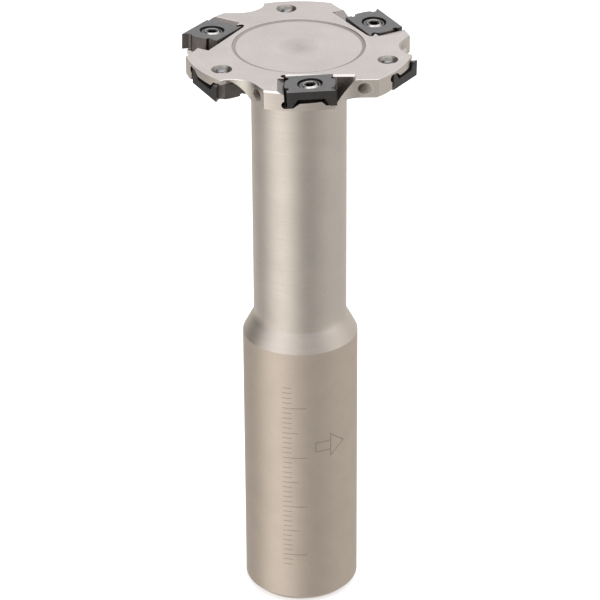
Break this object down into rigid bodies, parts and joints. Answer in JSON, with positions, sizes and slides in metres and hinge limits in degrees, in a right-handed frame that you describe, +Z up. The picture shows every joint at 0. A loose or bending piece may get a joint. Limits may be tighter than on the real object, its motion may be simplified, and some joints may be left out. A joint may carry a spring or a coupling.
{
  "type": "slotting cutter",
  "caption": "Shank-type disc milling cutter: straight side-lock shank, cone, slim neck and thin disc head with screwed indexable inserts set alternately from above and below.",
  "frame": {"origin": "centre of the shank's end face, on the tool axis", "axes": "+Z up the tool axis from the shank to the head; -Y out through the middle of the first insert; the shank's clamping flat faces +Y"},
  "size_m": [0.0392, 0.0384, 0.1045],
  "materials": {
    "body_steel": "satin nickel-plated tool steel with fine turning lines",
    "coated_carbide": "ground and coated sintered carbide, dark grey and matte",
    "screw_steel": "dark hardened steel, satin, with a bright rim"
  },
  "bodies": {
    "cutter_body": {"cutter_body": "body_steel"},
    "insert_1": {"insert_1": "coated_carbide"},
    "insert_screw_1": {"insert_screw_1": "screw_steel"},
    "insert_2": {"insert_2": "coated_carbide"},
    "insert_screw_2": {"insert_screw_2": "screw_steel"},
    "insert_3": {"insert_3": "coated_carbide"},
    "insert_screw_3": {"insert_screw_3": "screw_steel"},
    "insert_4": {"insert_4": "coated_carbide"},
    "insert_screw_4": {"insert_screw_4": "screw_steel"},
    "insert_5": {"insert_5": "coated_carbide"},
    "insert_screw_5": {"insert_screw_5": "screw_steel"},
    "insert_6": {"insert_6": "coated_carbide"},
    "insert_screw_6": {"insert_screw_6": "screw_steel"}
  },
  "joints": [
    {"name": "insert_1_lift", "type": "slide", "parent": "cutter_body", "child": "insert_1", "axis": [-0.0523, 0, 0.9986], "range_m": [0, 0.00191]},
    {"name": "insert_screw_1_turn", "type": "hinge", "parent": "insert_1", "child": "insert_screw_1", "pos_m": [0.00189, -0.01575, 0.10223], "axis": [-0.0523, 0, 0.9986], "range_deg": [0, 1530]},
    {"name": "insert_2_lift", "type": "slide", "parent": "cutter_body", "child": "insert_2", "axis": [-0.0262, -0.0453, -0.9986], "range_m": [0, 0.00191]},
    {"name": "insert_screw_2_turn", "type": "hinge", "parent": "insert_2", "child": "insert_screw_2", "pos_m": [0.01459, -0.00624, 0.10267], "axis": [-0.0262, -0.0453, -0.9986], "range_deg": [0, 1530]},
    {"name": "insert_3_lift", "type": "slide", "parent": "cutter_body", "child": "insert_3", "axis": [0.0262, -0.0453, 0.9986], "range_m": [0, 0.00191]},
    {"name": "insert_screw_3_turn", "type": "hinge", "parent": "insert_3", "child": "insert_screw_3", "pos_m": [0.0127, 0.00951, 0.10223], "axis": [0.0262, -0.0453, 0.9986], "range_deg": [0, 1530]},
    {"name": "insert_4_lift", "type": "slide", "parent": "cutter_body", "child": "insert_4", "axis": [0.0523, 0, -0.9986], "range_m": [0, 0.00191]},
    {"name": "insert_screw_4_turn", "type": "hinge", "parent": "insert_4", "child": "insert_screw_4", "pos_m": [-0.00189, 0.01575, 0.10267], "axis": [0.0523, 0, -0.9986], "range_deg": [0, 1530]},
    {"name": "insert_5_lift", "type": "slide", "parent": "cutter_body", "child": "insert_5", "axis": [0.0262, 0.0453, 0.9986], "range_m": [0, 0.00191]},
    {"name": "insert_screw_5_turn", "type": "hinge", "parent": "insert_5", "child": "insert_screw_5", "pos_m": [-0.01459, 0.00624, 0.10223], "axis": [0.0262, 0.0453, 0.9986], "range_deg": [0, 1530]},
    {"name": "insert_6_lift", "type": "slide", "parent": "cutter_body", "child": "insert_6", "axis": [-0.0262, 0.0453, -0.9986], "range_m": [0, 0.00191]},
    {"name": "insert_screw_6_turn", "type": "hinge", "parent": "insert_6", "child": "insert_screw_6", "pos_m": [-0.0127, -0.00951, 0.10267], "axis": [-0.0262, 0.0453, -0.9986], "range_deg": [0, 1530]}
  ],
  "couplings": [
    {"joint": "insert_screw_1_turn", "follows": "insert_1_lift", "rad_per_m": 13963},
    {"joint": "insert_screw_2_turn", "follows": "insert_2_lift", "rad_per_m": 13963},
    {"joint": "insert_screw_3_turn", "follows": "insert_3_lift", "rad_per_m": 13963},
    {"joint": "insert_screw_4_turn", "follows": "insert_4_lift", "rad_per_m": 13963},
    {"joint": "insert_screw_5_turn", "follows": "insert_5_lift", "rad_per_m": 13963},
    {"joint": "insert_screw_6_turn", "follows": "insert_6_lift", "rad_per_m": 13963}
  ]
}
